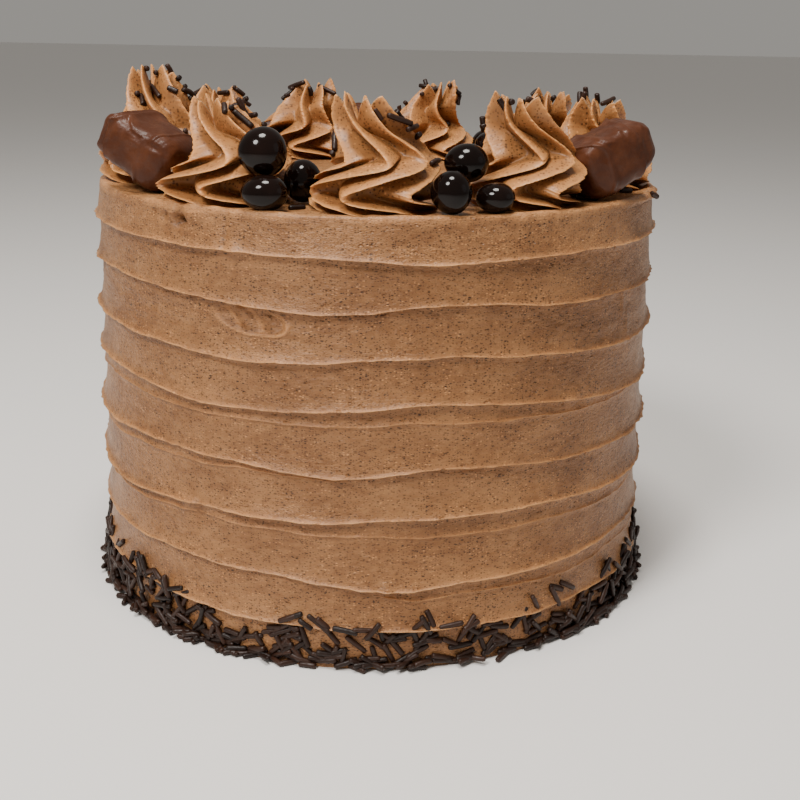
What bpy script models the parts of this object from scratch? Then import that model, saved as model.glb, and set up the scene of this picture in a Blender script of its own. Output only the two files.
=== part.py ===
"""Espresso cake: a tall round cake in coffee frosting, with a crown of piped swirls.

The cake's axis is Z, its base lies on z = 0 and its front faces -Y. Lengths are in metres.
The nodes are the frosted cake with the sprinkles round its foot, nine piped swirls with
theirs, eighteen chocolate coated coffee beans and three pieces of chocolate bar.
"""
import math

import bmesh
import bpy
import numpy as np
from mathutils import Matrix, Vector

MM = 0.001

# Cake body: an 8 inch cake, 6 inches tall, under its frosting
BASE_RADIUS = 106.0 * MM
TOP_RADIUS = 103.8 * MM
CAKE_HEIGHT = 150.4 * MM
GAP = 0.3 * MM
FLOOR_CUT = 0.6 * MM

# Ridges that the comb left round the side: height in mm, then bumps as (angle in degrees
# from the front, rise in mm, width in degrees)
RIDGES = (
    (14.8, ((-50, 1.0, 15),)),
    (31.3, ((-40, 1.3, 18), (3, -2.4, 8), (62, 1.4, 15))),
    (51.7, ((-62, -2.9, 16), (22, 2.9, 20))),
    (69.1, ((-40, 0.8, 20), (-6, -1.9, 7), (14, 2.2, 8), (60, -2.0, 16))),
    (89.2, ((-62, 1.5, 14), (-30, -1.6, 12), (13, 3.3, 13), (62, -3.4, 16))),
    (105.3, ((-23, -1.5, 12), (12, 2.3, 14), (62, -2.3, 14))),
    (122.2, ((-62, 1.8, 14), (-12, -1.6, 10), (15, 2.2, 9), (62, -1.0, 14))),
    (138.0, ((10, -1.2, 9),)),
)
RIDGE_TILT = 0.95 * MM
LIP = 0.5 * MM
STEP_BACK = 1.4 * MM
LIP_ABOVE = 0.3 * MM
STEP_BELOW = 0.8 * MM
RIM_ROUND = 2.0 * MM
CAKE_SEGMENTS = 56

# Ring of piped swirls: angle from the front towards +X in degrees, height in mm, width of the
# usual one, and how far its fins are turned in degrees
SWIRL_RING = 82.0 * MM
SWIRLS = (
    (0, 36.0, 1.03, 14),
    (36, 36.0, 0.98, 32),
    (78, 33.5, 0.98, 5),
    (124, 32.5, 0.97, 20),
    (164, 33.5, 1.0, -10),
    (-157, 33.0, 1.0, 26),
    (-124, 31.0, 0.97, 8),
    (-78, 40.5, 1.0, 18),
    (-35, 33.0, 1.05, -4),
)

# One swirl: fins that swing to one side and back on their way up to an open crown. Keys from
# the foot (0) to the crown's tips (1); widths and heights in mm, turns in degrees
SWIRL_FINS = 7
SWIRL_KEYS = (0.0, 0.08, 0.2, 0.34, 0.48, 0.6, 0.72, 0.82, 0.92, 1.0)
EDGE_RADIUS_MM = (18.0, 19.8, 20.3, 19.5, 17.8, 17.0, 14.5, 12.0, 10.0, 7.3)
EDGE_HEIGHT_MM = (-2.0, 2.8, 6.2, 10.2, 14.0, 17.5, 21.5, 26.5, 31.5, 36.0)
SWING_DEGREES = (48.0, 10.0, -46.0, -38.0, 8.0, 51.0, 32.0, 2.0, -9.0, -12.0)
ASIDE_MM = (0.0, 0.0, -0.5, -1.5, 1.0, 3.5, 2.0, -1.0, -3.5, -4.5)
FORWARD_MM = (0.0, 0.0, 0.0, 1.0, 2.0, 0.0, -1.5, -1.5, -0.5, 0.0)
FIN_DEPTH = (0.26, 0.34, 0.42, 0.45, 0.46, 0.47, 0.5, 0.54, 0.58, 0.64)
DROOP_MM = (0.0, 0.5, 1.5, 2.5, 2.5, 2.5, 1.5, 0.5, 0.0, 0.0)
LEAN_DEGREES = (0.0, 5.0, 10.0, 2.0, -10.0, -8.0, 0.0, 7.0, 9.0, 9.0)
KEY_BLUR = 0.032
FIN_SHARPNESS = 0.95
FIN_ROUNDING = 0.035
CROWN_START = 0.72
CROWN_NOTCH = 7.0 * MM
CROWN_BLUNTNESS = 1.5
CROWN_HOLLOW = 4.0 * MM
SOFT_FOOT = 2.0 * MM
# Points round and up a swirl before it is thinned to its number of triangles
SWIRL_AROUND = 98
SWIRL_ALONG = 72
SWIRL_TRIANGLES = 430
# What lies within this distance of a swirl's axis is cut clear of it, and its underside is
# cut flat by a box of these half sides
SWIRL_REACH = 45.0 * MM
CUTTER_HALF_SIDE = 40.0 * MM
CUTTER_HALF_HEIGHT = 20.0 * MM

# Coffee beans: place of the centre (x, y, z) and size along, across and up, all in mm, with
# the heading of the long side in degrees. z counts from the cake's top
FRONT_BEANS = (
    (-33.3, -93.0, 5.6, 14.4, 11.6, 11.0, 4),
    (-23.2, -73.6, 7.0, 12.4, 12.0, 13.6, 60),
    (-34.5, -86.0, 17.2, 15.4, 14.4, 15.2, 20),
    (23.3, -94.6, 6.9, 12.7, 12.4, 13.2, 0),
    (37.2, -89.2, 4.8, 12.4, 11.0, 9.4, -6),
    (28.5, -81.2, 14.4, 13.9, 12.4, 12.0, 10),
)
# Groups of three that the photo hides: angle from the front, and the twist of the group. The
# gaps between the swirls repeat a bar piece and two groups of beans all the way round
HIDDEN_BEAN_GROUPS = ((101, 8), (144, -10), (-140.5, 7), (-101, -6))
GROUP_FRONT_RADIUS = 93.5 * MM
GROUP_BACK_RADIUS = 81.5 * MM
BEAN_SIZE_MM = (14.0, 12.2, 11.6)
BEAN_HALF_STEP = 7.5 * MM
BEAN_AROUND = 8
BEAN_ROWS = 6

# Pieces of chocolate bar: angle and radius of the centre, then the heading, the rise and the
# roll of the long side in degrees. Each one stands on the cake's top with its low end, and
# leans on a swirl. A boxiness of 0 is a plain box and 1 is an ellipsoid
CHOC_SIZE_MM = (30.0, 22.0, 18.5)
CHOC_BOXINESS = 0.5
CHOC_ROWS = 8
CHOC_AROUND = 12
CHOCS = (
    (56.8, 92.6, -154, -27, 0),
    (-57.7, 90.7, -26, -27, 0),
    (-176.5, 88.0, 96, 4, 8),
)

# Sprinkles: short rods, 2 mm thick. At the foot, every third one lies flat on the floor
SPRINKLE_RADIUS = 1.0 * MM
SHORTEST_SPRINKLE = 6.5 * MM
LONGEST_SPRINKLE = 9.5 * MM
SPRINKLE_SIDES = 5
FOOT_SPRINKLES = 120
FLAT_LOWEST = 1.3 * MM
FLAT_HIGHEST = 2.4 * MM
FLAT_TURN = 0.9
WALL_LOWEST = 4.0 * MM
WALL_BAND = 13.0 * MM
SWIRL_SPRINKLES = 4
SWIRL_SEED = 40
FOOT_SEED = 11

FROSTING = (0.36, 0.215, 0.122)
PIPED = (0.42, 0.26, 0.15)
BEAN = (0.012, 0.006, 0.005)
BAR = (0.105, 0.042, 0.026)


def clear_scene():
    """Remove every object that the file starts with."""
    for obj in list(bpy.data.objects):
        bpy.data.objects.remove(obj, do_unlink=True)


def make_material(name, colour, roughness):
    """Principled material with a plain colour and roughness."""
    mat = bpy.data.materials.new(name)
    mat.use_nodes = True
    shader = mat.node_tree.nodes["Principled BSDF"]
    shader.inputs["Base Color"].default_value = (*colour, 1.0)
    shader.inputs["Roughness"].default_value = roughness
    return mat


def add_object(name, points, faces, mat=None):
    """Object from points and faces, linked to the scene."""
    mesh = bpy.data.meshes.new(name)
    mesh.from_pydata([tuple(p) for p in points], [], [tuple(int(i) for i in f) for f in faces])
    obj = bpy.data.objects.new(name, mesh)
    if mat:
        mesh.materials.append(mat)
    bpy.context.scene.collection.objects.link(obj)
    return obj


def apply_modifiers(obj):
    """Give an object the mesh that its modifiers make, and remove them."""
    bpy.context.view_layer.update()
    evaluated = obj.evaluated_get(bpy.context.evaluated_depsgraph_get())
    mesh = bpy.data.meshes.new_from_object(evaluated)
    obj.modifiers.clear()
    obj.data = mesh


def keep_largest_shell(obj):
    """Drop loose scraps, so that one closed body is left."""
    shape = bmesh.new()
    shape.from_mesh(obj.data)
    left = set(shape.verts)
    shells = []
    while left:
        stack = [left.pop()]
        shell = list(stack)
        while stack:
            for edge in stack.pop().link_edges:
                for vert in edge.verts:
                    if vert in left:
                        left.remove(vert)
                        stack.append(vert)
                        shell.append(vert)
        shells.append(shell)
    shells.sort(key=len)
    for shell in shells[:-1]:
        bmesh.ops.delete(shape, geom=shell, context="VERTS")
    shape.to_mesh(obj.data)
    shape.free()


def boolean(obj, others, operation, solver="EXACT"):
    """Apply one Boolean of an object with a list of others, which are then removed."""
    group = bpy.data.collections.new(obj.name + "_tools")
    bpy.context.scene.collection.children.link(group)
    for other in others:
        bpy.context.scene.collection.objects.unlink(other)
        group.objects.link(other)
    tool = obj.modifiers.new("Boolean", "BOOLEAN")
    tool.operation = operation
    tool.operand_type = "COLLECTION"
    tool.collection = group
    tool.solver = solver
    apply_modifiers(obj)
    for other in others:
        bpy.data.objects.remove(other, do_unlink=True)
    bpy.data.collections.remove(group)
    keep_largest_shell(obj)


def smooth(x):
    """Smooth step from 0 to 1."""
    x = np.clip(x, 0.0, 1.0)
    return x * x * (3.0 - 2.0 * x)


def ridge_height(ridge, angle):
    """Height of a ridge at an angle: its level, a tilt of the comb, and its own bumps."""
    level, bumps = ridge
    height = np.full_like(angle, level * MM) - RIDGE_TILT * np.sin(angle)
    for centre, rise, width in bumps:
        away = np.degrees(angle) - centre
        height += rise * MM * np.exp(-0.5 * (away / width) ** 2)
    behind = smooth((np.abs(np.degrees(angle)) - 80.0) / 40.0)
    return height + behind * 1.4 * MM * np.sin(3.0 * angle + level)


def wall_radius(height):
    """Radius of the frosted side at a height, before its ridges."""
    return BASE_RADIUS + (TOP_RADIUS - BASE_RADIUS) * height / CAKE_HEIGHT


def side_rows(angle):
    """Radius and height of each row up the side, at an array of angles.

    Each band leans out downwards to a lip, then steps back under it.
    """
    rows = [(np.full_like(angle, BASE_RADIUS - LIP), np.zeros_like(angle))]
    for ridge in RIDGES:
        height = ridge_height(ridge, angle)
        rows.append((wall_radius(height) - STEP_BACK, height - STEP_BELOW))
        rows.append((wall_radius(height) + LIP, height + LIP_ABOVE))
    flat = np.full_like(angle, CAKE_HEIGHT)
    rows.append((np.full_like(angle, TOP_RADIUS - RIM_ROUND * 0.3), flat - RIM_ROUND * 0.8))
    rows.append((np.full_like(angle, TOP_RADIUS - RIM_ROUND), flat))
    return rows


def side_radius(angle, height):
    """Radius of the real side, ridges and all, at one angle and height."""
    rows = side_rows(np.array([angle]))
    return float(np.interp(height, [z[0] for _, z in rows], [r[0] for r, _ in rows]))


def build_cake(mat):
    """Cake body: the ridged side, with a flat base and a flat top."""
    angle = np.linspace(-math.pi, math.pi, CAKE_SEGMENTS, endpoint=False)
    rows = side_rows(angle)
    points = [(r * math.sin(a), -r * math.cos(a), z)
              for radius, height in rows for r, a, z in zip(radius, angle, height)]
    faces = []
    for row in range(len(rows) - 1):
        for i in range(CAKE_SEGMENTS):
            j = (i + 1) % CAKE_SEGMENTS
            low = row * CAKE_SEGMENTS
            high = low + CAKE_SEGMENTS
            faces.append((low + i, low + j, high + j, high + i))
    faces.append(range(CAKE_SEGMENTS - 1, -1, -1))
    top = (len(rows) - 1) * CAKE_SEGMENTS
    faces.append(range(top, top + CAKE_SEGMENTS))
    cake = add_object("cake", points, faces, mat)
    boolean(cake, foot_sprinkles(), "UNION")
    return cake


def sprinkle(place, direction, length):
    """Rod of a few sides round a line, with its middle at a place."""
    shape = bmesh.new()
    bmesh.ops.create_cone(shape, cap_ends=True, segments=SPRINKLE_SIDES,
                          radius1=SPRINKLE_RADIUS, radius2=SPRINKLE_RADIUS, depth=length)
    turn = Vector(direction).to_track_quat("Z", "Y").to_matrix().to_4x4()
    shape.transform(Matrix.Translation(place) @ turn)
    mesh = bpy.data.meshes.new("sprinkle")
    shape.to_mesh(mesh)
    shape.free()
    obj = bpy.data.objects.new("sprinkle", mesh)
    bpy.context.scene.collection.objects.link(obj)
    return obj


def foot_sprinkles():
    """Sprinkles pressed on the lowest part of the side, denser towards the floor.

    Each one lies along the wall at a random slant, half sunk in it, and every third one
    lies flat at the foot with more of its thickness showing.
    """
    draw = np.random.default_rng(FOOT_SEED)
    rods = []
    for i in range(FOOT_SPRINKLES):
        angle = 2.0 * math.pi * (i + draw.uniform(-0.3, 0.3)) / FOOT_SPRINKLES
        length = draw.uniform(SHORTEST_SPRINKLE, LONGEST_SPRINKLE)
        outward = 0.0
        if i % 3 == 0:
            height = draw.uniform(FLAT_LOWEST, FLAT_HIGHEST)
            slant = 0.0
            outward = draw.uniform(-FLAT_TURN, FLAT_TURN)
            proud = 0.5 * MM + 0.34 * length * abs(math.sin(outward))
        else:
            height = WALL_LOWEST + WALL_BAND * draw.uniform() ** 1.3
            steepest = math.asin(min(1.0, 2.0 * (height - 1.5 * MM) / length))
            slant = draw.uniform(-1.0, 1.0) * steepest
            proud = draw.uniform(0.2, 0.5) * MM
        radius = side_radius(angle, height) + proud
        out = Vector((math.sin(angle), -math.cos(angle), 0.0))
        along = Vector((math.cos(angle), math.sin(angle), 0.0))
        level = along * math.cos(outward) + out * math.sin(outward)
        direction = level * math.cos(slant) + Vector((0.0, 0.0, math.sin(slant)))
        place = out * radius + Vector((0.0, 0.0, height))
        rods.append(sprinkle(place, direction, length))
    return rods


def swirl_grid(turned, around, along):
    """Points of one piped swirl, as rings from its foot up to the tips of its crown.

    A ring's radius runs between the fins' edges and the grooves. The rings turn one way and
    the other on the way up, so that the fins swing, and slide off the axis, so that one side
    has a shoulder. Fins droop and lean a little, and at the crown the grooves stay low.
    """
    s = np.linspace(0.0, 2.0 * math.pi, around, endpoint=False)[None, :]
    t = np.linspace(0.0, 1.0, along)[:, None]
    fine = np.linspace(0.0, 1.0, 401)
    pad = 60
    weight = np.exp(-0.5 * (np.arange(-pad, pad + 1) / (KEY_BLUR * 400.0)) ** 2)
    weight /= weight.sum()

    def key_curve(values):
        """Smooth curve through one row of the swirl's key values."""
        line = np.interp(fine, SWIRL_KEYS, values)
        before = 2.0 * line[0] - line[pad:0:-1]
        after = 2.0 * line[-1] - line[-2:-pad - 2:-1]
        line = np.convolve(np.concatenate([before, line, after]), weight, "valid")
        return np.interp(t, fine, line)

    fin = 1.0 - np.sqrt(np.sin(SWIRL_FINS * s / 2.0) ** 2 + FIN_ROUNDING) ** FIN_SHARPNESS
    fin = (fin - fin.min()) / (fin.max() - fin.min())
    depth = key_curve(FIN_DEPTH)
    reach = key_curve(EDGE_RADIUS_MM) * MM * (1.0 - depth + depth * fin)
    angle = s + np.radians(turned + key_curve(SWING_DEGREES) + key_curve(LEAN_DEGREES) * fin)
    crown = smooth((t - CROWN_START) / (1.0 - CROWN_START))
    notch = CROWN_NOTCH * (1.0 - fin) ** CROWN_BLUNTNESS * crown
    z = (key_curve(EDGE_HEIGHT_MM) - key_curve(DROOP_MM) * fin ** 2) * MM - notch
    z = np.where(z < SOFT_FOOT, SOFT_FOOT * np.exp(np.minimum(z / SOFT_FOOT - 1.0, 0.0)), z)
    x = key_curve(ASIDE_MM) * MM + reach * np.sin(angle)
    y = -key_curve(FORWARD_MM) * MM - reach * np.cos(angle)
    return np.stack([x, y, z], axis=-1)


def build_swirl(name, angle, height, width, turned, neighbours, seed, mat):
    """One swirl: its rings closed at foot and crown, thinned, cut clear of what it touches."""
    around, along = SWIRL_AROUND, SWIRL_ALONG
    grid = swirl_grid(turned, around, along)
    points = [Vector(p) for p in grid.reshape(-1, 3)]
    faces = [(k * around + i, k * around + (i + 1) % around,
              (k + 1) * around + (i + 1) % around, (k + 1) * around + i)
             for k in range(along - 1) for i in range(around)]
    foot = Vector(grid[0].mean(axis=0))
    crown = Vector(grid[-1].mean(axis=0))
    crown.z = grid[-1, :, 2].min() - CROWN_HOLLOW
    points += [foot, crown]
    last = (along - 1) * around
    faces += [((i + 1) % around, i, len(points) - 2) for i in range(around)]
    faces += [(last + i, last + (i + 1) % around, len(points) - 1) for i in range(around)]
    swirl = add_object(name, points, faces, mat)
    thin = swirl.modifiers.new("Decimate", "DECIMATE")
    thin.ratio = SWIRL_TRIANGLES / (2.0 * len(swirl.data.polygons))
    apply_modifiers(swirl)
    stretch = (height * MM + FLOOR_CUT - GAP) / max(v.co.z for v in swirl.data.vertices)
    middle = Vector((SWIRL_RING * math.sin(angle), -SWIRL_RING * math.cos(angle), CAKE_HEIGHT))
    swirl.data.transform(Matrix.Translation(middle) @ Matrix.Rotation(angle, 4, "Z")
                         @ Matrix.Diagonal((width, width, stretch, 1.0)))
    below = Vector((0.0, 0.0, FLOOR_CUT - CUTTER_HALF_HEIGHT))
    floor = add_box("floor", middle + below, CUTTER_HALF_SIDE, CUTTER_HALF_HEIGHT)
    # EXACT leaves open edges on some of the thin fins
    boolean(swirl, crown_sprinkles(swirl, seed), "UNION", "MANIFOLD")
    boolean(swirl, [floor] + [inflated(obj) for obj in neighbours], "DIFFERENCE", "MANIFOLD")
    swirl.data.transform(Matrix.Translation((0.0, 0.0, GAP - FLOOR_CUT)))
    return swirl


def add_box(name, centre, half_side, half_height):
    """Closed box as a cutter."""
    shape = bmesh.new()
    bmesh.ops.create_cube(shape, size=2.0)
    shape.transform(Matrix.Translation(centre)
                    @ Matrix.Diagonal((half_side, half_side, half_height, 1.0)))
    mesh = bpy.data.meshes.new(name)
    shape.to_mesh(mesh)
    shape.free()
    obj = bpy.data.objects.new(name, mesh)
    bpy.context.scene.collection.objects.link(obj)
    return obj


def centre_of(obj):
    """Mean of an object's points."""
    return sum((v.co for v in obj.data.vertices), Vector()) / len(obj.data.vertices)


def inflated(obj):
    """Copy of a node, grown by a little more than the gap that touching nodes keep."""
    mesh = obj.data.copy()
    centre = centre_of(obj)
    for vert in mesh.vertices:
        away = vert.co - centre
        vert.co = centre + away * (1.0 + 1.6 * GAP / away.length)
    mesh.transform(Matrix.Translation((0.0, 0.0, FLOOR_CUT - GAP)))
    copy = bpy.data.objects.new(obj.name + "_cutter", mesh)
    bpy.context.scene.collection.objects.link(copy)
    return copy


def crown_sprinkles(swirl, seed):
    """Sprinkles lying on the upper third of a swirl, half sunk where they touch it."""
    draw = np.random.default_rng(seed)
    top = max(v.co.z for v in swirl.data.vertices)
    faces = [f for f in swirl.data.polygons
             if f.normal.z > 0.35 and top - 17.0 * MM < f.center.z < top - 3.0 * MM]
    faces.sort(key=lambda f: math.atan2(f.center.y, f.center.x))
    rods = []
    for i in range(SWIRL_SPRINKLES):
        face = faces[int((i + draw.uniform(0.2, 0.8)) * len(faces) / SWIRL_SPRINKLES)]
        across = face.normal.cross(Vector((draw.normal(), draw.normal(), draw.normal())))
        length = draw.uniform(SHORTEST_SPRINKLE, LONGEST_SPRINKLE)
        rods.append(sprinkle(face.center + face.normal * 0.1 * MM, across, length))
    return rods


def build_bean(name, place, size_mm, heading, mat):
    """Coated coffee bean: an egg-shaped ellipsoid, a little fuller at one end."""
    shape = bmesh.new()
    bmesh.ops.create_uvsphere(shape, u_segments=BEAN_AROUND, v_segments=BEAN_ROWS, radius=1.0)
    for vert in shape.verts:
        fuller = 1.0 + 0.07 * vert.co.x
        vert.co.y *= fuller
        vert.co.z *= fuller
    half = [0.5 * MM * s for s in size_mm]
    shape.transform(Matrix.Translation(place) @ Matrix.Rotation(math.radians(heading), 4, "Z")
                    @ Matrix.Diagonal((*half, 1.0)))
    mesh = bpy.data.meshes.new(name)
    shape.to_mesh(mesh)
    shape.free()
    mesh.materials.append(mat)
    mesh.shade_smooth()
    obj = bpy.data.objects.new(name, mesh)
    bpy.context.scene.collection.objects.link(obj)
    return obj


def bean_spots():
    """Place, size and heading of each bean: six seen at the front, twelve by one rule.

    A hidden group is two beans near the edge of the cake's top and a third behind them.
    """
    spots = [(Vector((x * MM, y * MM, CAKE_HEIGHT + z * MM)), (a, b, c), turn)
             for x, y, z, a, b, c, turn in FRONT_BEANS]
    long_mm, wide_mm, tall_mm = BEAN_SIZE_MM
    for centre, twist in HIDDEN_BEAN_GROUPS:
        for side, radius in ((-1, GROUP_FRONT_RADIUS), (1, GROUP_FRONT_RADIUS), (0, GROUP_BACK_RADIUS)):
            angle = math.radians(centre) + side * BEAN_HALF_STEP / radius
            radius += side * math.radians(twist) * BEAN_HALF_STEP
            z = CAKE_HEIGHT + GAP + 0.5 * tall_mm * MM
            place = Vector((radius * math.sin(angle), -radius * math.cos(angle), z))
            spots.append((place, (long_mm, wide_mm, tall_mm), centre + twist * 4.0 + side * 35.0))
    return spots


def build_choc(name, place, heading, rise, roll, mat):
    """Piece of chocolate bar: a box with well rounded edges, a little wavy and tapered."""
    rows, around = CHOC_ROWS, CHOC_AROUND
    power = CHOC_BOXINESS
    points = []
    for i in range(1, rows):
        v = math.pi * (i / rows - 0.5)
        for j in range(around):
            u = 2.0 * math.pi * j / around
            ring = abs(math.cos(v)) ** power
            y = ring * math.copysign(abs(math.cos(u)) ** power, math.cos(u))
            z = ring * math.copysign(abs(math.sin(u)) ** power, math.sin(u))
            x = math.copysign(abs(math.sin(v)) ** power, math.sin(v))
            wave = 1.0 + 0.05 * math.sin(2.3 * x + 1.5 * y)
            points.append((x, y * (1.0 - 0.06 * x) * wave, z * (1.0 + 0.05 * x) * wave))
    points += [(-1.0, 0.0, 0.0), (1.0, 0.0, 0.0)]
    first = len(points) - 2
    faces = []
    for i in range(rows - 2):
        for j in range(around):
            k = (j + 1) % around
            faces.append((i * around + j, (i + 1) * around + j, (i + 1) * around + k, i * around + k))
    end = (rows - 2) * around
    for j in range(around):
        k = (j + 1) % around
        faces.append((first, j, k))
        faces.append((first + 1, end + k, end + j))
    choc = add_object(name, points, faces, mat)
    half = [0.5 * MM * s for s in CHOC_SIZE_MM]
    choc.data.transform(Matrix.Translation(place)
                        @ Matrix.Rotation(math.radians(heading), 4, "Z")
                        @ Matrix.Rotation(math.radians(-rise), 4, "Y")
                        @ Matrix.Rotation(math.radians(roll), 4, "X")
                        @ Matrix.Diagonal((*half, 1.0)))
    lowest = min(v.co.z for v in choc.data.vertices)
    choc.data.transform(Matrix.Translation((0.0, 0.0, CAKE_HEIGHT + GAP - lowest)))
    shape = bmesh.new()
    shape.from_mesh(choc.data)
    bmesh.ops.recalc_face_normals(shape, faces=shape.faces)
    shape.to_mesh(choc.data)
    shape.free()
    choc.data.shade_smooth()
    return choc


def main():
    """Build every node of the cake."""
    clear_scene()
    beans = []
    for i, (place, size, heading) in enumerate(bean_spots()):
        mat = make_material("bean_%02d" % (i + 1), BEAN, 0.12)
        beans.append(build_bean("bean_%02d" % (i + 1), place, size, heading, mat))
    chocs = []
    for i, (angle, radius, heading, rise, roll) in enumerate(CHOCS):
        turn = math.radians(angle)
        place = Vector((radius * MM * math.sin(turn), -radius * MM * math.cos(turn), CAKE_HEIGHT))
        mat = make_material("choc_%d" % (i + 1), BAR, 0.35)
        chocs.append(build_choc("choc_%d" % (i + 1), place, heading, rise, roll, mat))
    for i, (angle, height, width, turned) in enumerate(SWIRLS):
        turn = math.radians(angle)
        middle = Vector((SWIRL_RING * math.sin(turn), -SWIRL_RING * math.cos(turn), 0.0))
        near = [obj for obj in beans + chocs
                if (centre_of(obj).xy - middle.xy).length < SWIRL_REACH]
        mat = make_material("swirl_%d" % (i + 1), PIPED, 0.5)
        build_swirl("swirl_%d" % (i + 1), turn, height, width, turned, near, SWIRL_SEED + i, mat)
    build_cake(make_material("cake", FROSTING, 0.5))


main()
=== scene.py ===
"""Espresso cake: the looks of the frosted cake, its piped swirls and its toppings.

The cake's axis is Z and its front faces -Y. Lengths are in metres, unless a name ends in _MM.
"""
import math

import bpy
import numpy as np
from mathutils import Matrix, Vector
from mathutils.bvhtree import BVHTree


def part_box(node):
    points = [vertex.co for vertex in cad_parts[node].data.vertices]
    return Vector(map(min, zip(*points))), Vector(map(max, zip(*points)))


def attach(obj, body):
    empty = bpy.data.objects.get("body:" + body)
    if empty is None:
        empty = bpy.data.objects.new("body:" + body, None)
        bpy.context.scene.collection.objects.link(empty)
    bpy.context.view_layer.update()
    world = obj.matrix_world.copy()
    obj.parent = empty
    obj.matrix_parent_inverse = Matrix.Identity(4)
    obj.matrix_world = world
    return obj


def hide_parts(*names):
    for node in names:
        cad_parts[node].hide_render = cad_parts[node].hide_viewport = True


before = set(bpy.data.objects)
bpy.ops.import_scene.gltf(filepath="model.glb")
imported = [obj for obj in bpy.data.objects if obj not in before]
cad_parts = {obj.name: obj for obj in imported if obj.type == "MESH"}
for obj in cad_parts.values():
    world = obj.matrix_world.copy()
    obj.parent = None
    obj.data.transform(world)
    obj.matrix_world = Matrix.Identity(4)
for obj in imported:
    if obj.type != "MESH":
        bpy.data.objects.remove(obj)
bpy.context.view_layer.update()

MM = 0.001

# Cake body
BASE_RADIUS = 106.0 * MM
TOP_RADIUS = 103.8 * MM
CAKE_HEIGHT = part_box("cake")[1].z

# Main ridges: height in mm, then bumps as (angle in degrees from the front, rise in mm, width)
RIDGES = (
    (14.8, ((-50, 1.0, 15),)),
    (31.3, ((-40, 1.3, 18), (3, -2.4, 8), (62, 1.4, 15))),
    (51.7, ((-62, -2.9, 16), (22, 2.9, 20))),
    (69.1, ((-40, 0.8, 20), (-6, -1.9, 7), (14, 2.2, 8), (60, -2.0, 16))),
    (89.2, ((-62, 1.5, 14), (-30, -1.6, 12), (13, 3.3, 13), (62, -3.4, 16))),
    (105.3, ((-23, -1.5, 12), (12, 2.3, 14), (62, -2.3, 14))),
    (122.2, ((-62, 1.8, 14), (-12, -1.6, 10), (15, 2.2, 9), (62, -1.0, 14))),
    (138.0, ((10, -1.2, 9),)),
)
RIDGE_TILT = 0.95 * MM
BACK_WAVE = 1.4 * MM
WOBBLE = 0.35 * MM
FINE_WOBBLE = 0.14 * MM
# Thin second ridges: which main ridge they run under, how far below in mm at keys of angle,
# and how strong they are there
SECOND_RIDGES = (
    (1, ((-180, 4.0, 0.0), (0, 2.0, 0.0), (9, 4.5, 0.9), (40, 6.0, 0.8), (80, 6.0, 0.7),
         (150, 4.0, 0.0), (180, 4.0, 0.0))),
    (2, ((-180, 4.0, 0.0), (-80, 3.2, 0.8), (-38, 3.6, 0.9), (-6, 5.0, 0.9), (10, 7.2, 0.9),
         (45, 6.2, 0.9), (90, 4.5, 0.6), (130, 4.0, 0.0), (180, 4.0, 0.0))),
    (3, ((-180, 4.0, 0.5), (-110, 5.0, 0.8), (-70, 4.6, 0.9), (-35, 3.8, 0.9), (-12, 1.6, 0.7),
         (0, 1.4, 0.0), (100, 4.0, 0.0), (180, 4.0, 0.5))),
    (4, ((-180, 5.0, 0.6), (-75, 6.0, 0.8), (-45, 5.0, 0.9), (-25, 3.6, 0.9), (0, 5.8, 1.0),
         (15, 6.6, 1.0), (40, 4.0, 0.9), (60, 1.6, 0.4), (80, 2.0, 0.0), (180, 5.0, 0.6))),
)
# A band leans out downwards by a wide flare and a thin lip, over these heights
HOLLOW = 1.2 * MM
FLARE = 1.65 * MM
FLARE_HEIGHT = 5.0 * MM
LIP = 0.7 * MM
LIP_HEIGHT = 0.36 * MM
UNDERSIDE = 0.5 * MM
UNDERSIDE_POWER = 2.2
SECOND_FLARE = 0.42 * MM
SECOND_FLARE_HEIGHT = 2.2 * MM
SECOND_LIP = 0.42 * MM
SECOND_SUNK = 0.35 * MM
SECOND_SUNK_HEIGHT = 3.0 * MM
SECOND_WOBBLE = 0.3 * MM
# How far the painted highlight on a lip reaches up and down, and that on a second ridge both ways
LIP_HIGHLIGHT_UP = 0.42 * MM
LIP_HIGHLIGHT_DOWN = 0.2 * MM
SECOND_HIGHLIGHT_REACH = 0.5 * MM
# Relief of the side: height in mm, cells round and up the cake, and seed
SIDE_RELIEF = ((0.32, 20, 12, 31), (0.17, 60, 60, 32), (0.09, 150, 130, 33))
DAB_RISE = 0.16 * MM
# Columns stand closer together over the front half
CAKE_COLUMNS = 470
FRONT_HALF_DEGREES = 100.0
# Scraped patch under a ridge: angle and height of its middle, half width and half height, and
# the band that holds it, counted from the foot
PATCH_DEGREES = -21.8
PATCH_HEIGHT = 117.2 * MM
PATCH_HALF_DEGREES = 6.6
PATCH_HALF_HEIGHT = 4.6 * MM
PATCH_DEPTH = 1.3 * MM
PATCH_LEAN = 0.3
PATCH_SCALLOP = 0.12
PATCH_RIM = 0.75 * MM
PATCH_BAND = 6
PIT_DEGREES = -36.6
# Columns stand closest here: angle and width in degrees, and how much closer
CLOSE_SPOTS = ((PATCH_DEGREES, 8.5, 4.5), (PIT_DEGREES, 4.5, 3.5))
MARK_RADIUS = 105.0 * MM
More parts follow.
